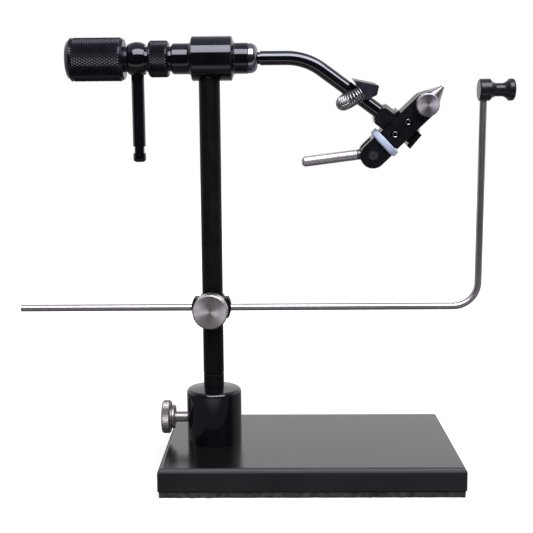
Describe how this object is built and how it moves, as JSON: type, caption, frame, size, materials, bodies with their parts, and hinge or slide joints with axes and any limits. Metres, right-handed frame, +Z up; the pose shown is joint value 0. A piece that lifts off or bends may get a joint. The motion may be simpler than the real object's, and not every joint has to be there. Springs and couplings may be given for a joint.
{
  "type": "fly tying vise",
  "caption": "Rotary fly tying vise on a pedestal base: upright stem, turning shaft with crank, cam-lever jaws, spring material clip and adjustable bobbin rest.",
  "frame": {"origin": "centre of the base pad's underside, on the table", "axes": "+X to the jaws' side, +Y away from the tyer, +Z up"},
  "size_m": [0.2213, 0.082, 0.1989],
  "materials": {
    "plate_black": "satin black powder coat",
    "pad_foam": "dark closed-cell foam",
    "gloss_black": "polished black",
    "stem_black": "satin black",
    "knurl_black": "black anodised, knurled",
    "jaw_black": "black oxide",
    "screw_black": "black oxide",
    "nickel_steel": "warm nickel plate",
    "stainless": "turned and polished stainless steel",
    "dark_steel": "hardened steel",
    "bronze": "turned bronze",
    "nylon_white": "translucent white nylon",
    "acetal_black": "turned black acetal"
  },
  "bodies": {
    "base": {"base_plate": "plate_black", "base_pad": "pad_foam", "post_socket": "gloss_black", "socket_bolt": "screw_black"},
    "thumb_tip": {"thumbscrew_tip": "bronze"},
    "thumbscrew": {"thumbscrew": "nickel_steel"},
    "post_stub": {"post_stub": "stem_black"},
    "post": {"post_stem": "stem_black", "rotary_housing": "gloss_black", "post_pin": "dark_steel", "front_bushing": "bronze", "rear_bushing": "bronze", "nose_cap": "gloss_black"},
    "tension_ring": {"tension_ring": "knurl_black"},
    "rotary": {"rotary_shaft": "gloss_black", "drag_washer": "gloss_black", "crank_hub": "gloss_black", "crank_handle": "gloss_black", "hub_set_screw": "screw_black", "turning_knob": "knurl_black", "knob_set_screw": "screw_black", "head_block": "jaw_black", "head_set_screw": "screw_black", "fixed_jaw": "jaw_black", "jaw_guide_screws": "screw_black", "jaw_spring": "dark_steel", "cam_washer": "nylon_white", "cam_clevis": "jaw_black", "cam_pin": "dark_steel"},
    "moving_jaw": {"moving_jaw": "jaw_black"},
    "wedge": {"jaw_wedge": "dark_steel"},
    "lever": {"lever_cam": "dark_steel", "lever_rod": "stainless"},
    "jaw_screw": {"jaw_adjust_screw": "stainless"},
    "material_clip": {"clip_plate": "jaw_black", "clip_spring": "stainless"},
    "clamp_liner": {"clamp_liner": "acetal_black"},
    "clamp": {"clamp_block": "jaw_black"},
    "clamp_knob": {"clamp_knob": "stainless", "clamp_screw": "stainless"},
    "rest": {"rest_rod": "stainless", "cradle_head": "acetal_black", "cradle_set_screw": "screw_black"}
  },
  "joints": [
    {"name": "thumb_feed", "type": "slide", "parent": "base", "child": "thumb_tip", "axis": [1, 0, 0], "range_m": [-0.0016, 0]},
    {"name": "thumb_turn", "type": "hinge", "parent": "thumb_tip", "child": "thumbscrew", "pos_m": [-0.0687, 0, 0.02405], "axis": [1, 0, 0], "range_deg": [-720, 0]},
    {"name": "post_lift", "type": "slide", "parent": "base", "child": "post_stub", "axis": [0, 0, 1], "range_m": [0, 0.01]},
    {"name": "post_turn", "type": "hinge", "parent": "post_stub", "child": "post", "pos_m": [-0.0444, 0, 0.0453], "axis": [0, 0, 1], "continuous": true},
    {"name": "tension_turn", "type": "hinge", "parent": "post", "child": "tension_ring", "pos_m": [-0.07125, 0, 0.1891], "axis": [1, 0, 0], "range_deg": [-180, 90]},
    {"name": "rotary_turn", "type": "hinge", "parent": "post", "child": "rotary", "pos_m": [-0.0444, 0, 0.1891], "axis": [1, 0, 0], "continuous": true},
    {"name": "lever_turn", "type": "hinge", "parent": "rotary", "child": "lever", "pos_m": [0.02929, 0.00528, 0.14612], "axis": [0, -0.9925, -0.1219], "range_deg": [0, 75]},
    {"name": "wedge_slide", "type": "slide", "parent": "rotary", "child": "wedge", "axis": [0.7193, -0.0847, 0.6895], "range_m": [-0.001, 0]},
    {"name": "jaw_open", "type": "hinge", "parent": "rotary", "child": "moving_jaw", "pos_m": [0.05281, -0.00245, 0.16806], "axis": [0.6947, 0.0877, -0.714], "range_deg": [0, 2.5]},
    {"name": "adjust_turn", "type": "hinge", "parent": "rotary", "child": "jaw_screw", "pos_m": [0.05281, -0.00245, 0.16806], "axis": [0, 0.9925, 0.1219], "range_deg": [-360, 180]},
    {"name": "clip_slide", "type": "slide", "parent": "rotary", "child": "material_clip", "axis": [0.809, 0.0716, -0.5834], "range_m": [-0.01, 0.002]},
    {"name": "clamp_lift", "type": "slide", "parent": "post", "child": "clamp_liner", "axis": [0, 0, 1], "range_m": [-0.025, 0.025]},
    {"name": "clamp_turn", "type": "hinge", "parent": "clamp_liner", "child": "clamp", "pos_m": [-0.0444, 0, 0.0777], "axis": [0, 0, 1], "continuous": true},
    {"name": "clamp_knob_turn", "type": "hinge", "parent": "clamp", "child": "clamp_knob", "pos_m": [-0.0444, -0.01099, 0.0772], "axis": [0, 1, 0], "range_deg": [-360, 0]},
    {"name": "rest_slide", "type": "slide", "parent": "clamp", "child": "rest", "axis": [1, 0, 0], "range_m": [-0.01, 0.06]}
  ],
  "couplings": [
    {"joint": "thumb_feed", "follows": "thumb_turn", "m_per_rad": 0.00012732},
    {"joint": "wedge_slide", "follows": "lever_turn", "m_per_rad": -0.00076394},
    {"joint": "jaw_open", "follows": "lever_turn", "ratio": 0.033333}
  ]
}
